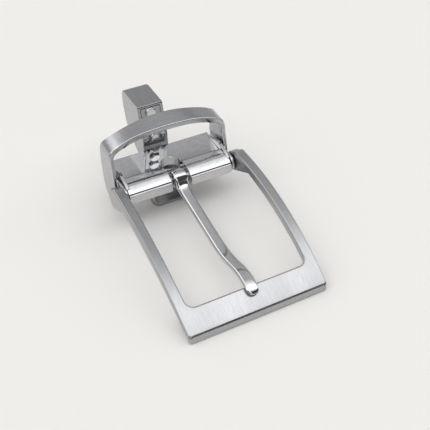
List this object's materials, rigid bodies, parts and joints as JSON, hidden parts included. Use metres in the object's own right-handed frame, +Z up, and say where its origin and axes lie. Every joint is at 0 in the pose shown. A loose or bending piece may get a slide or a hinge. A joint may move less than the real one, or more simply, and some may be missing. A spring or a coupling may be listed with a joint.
{
  "type": "clamping belt buckle",
  "caption": "Single-prong belt buckle with a tilting rectangular frame, an arched keeper bridge and a lever clamp that grips a cut-to-length strap.",
  "frame": {"origin": "middle of the footprint on the surface the buckle stands on, with the lever open", "axes": "+Z up, -Y towards the front bar, +Y towards the lever, +X along the axle"},
  "size_m": [0.0474, 0.0896, 0.0314],
  "materials": {
    "satin_nickel": "fine satin brushed nickel plating",
    "mirror_nickel": "mirror polished nickel plating",
    "polished_nickel": "polished nickel plating",
    "steel_pin": "plain drawn steel"
  },
  "bodies": {
    "clip": {"clamp_plate": "mirror_nickel", "axle_pin": "steel_pin", "keeper_loop": "satin_nickel", "lever_pin": "steel_pin"},
    "frame": {"buckle_frame": "satin_nickel"},
    "prong": {"prong": "polished_nickel"},
    "lever": {"clamp_lever": "satin_nickel", "stud_upper": "polished_nickel", "stud_middle": "polished_nickel", "stud_lower": "polished_nickel"}
  },
  "joints": [
    {"name": "frame_hinge", "type": "hinge", "parent": "clip", "child": "frame", "pos_m": [0, 0.0101, 0.0134], "axis": [1, 0, 0], "range_deg": [-50, 25]},
    {"name": "prong_hinge", "type": "hinge", "parent": "frame", "child": "prong", "pos_m": [0, 0.0101, 0.0134], "axis": [1, 0, 0], "range_deg": [-65, 0]},
    {"name": "lever_hinge", "type": "hinge", "parent": "clip", "child": "lever", "pos_m": [0, 0.0214, 0.0084], "axis": [1, 0, 0], "range_deg": [-52, 10]}
  ]
}
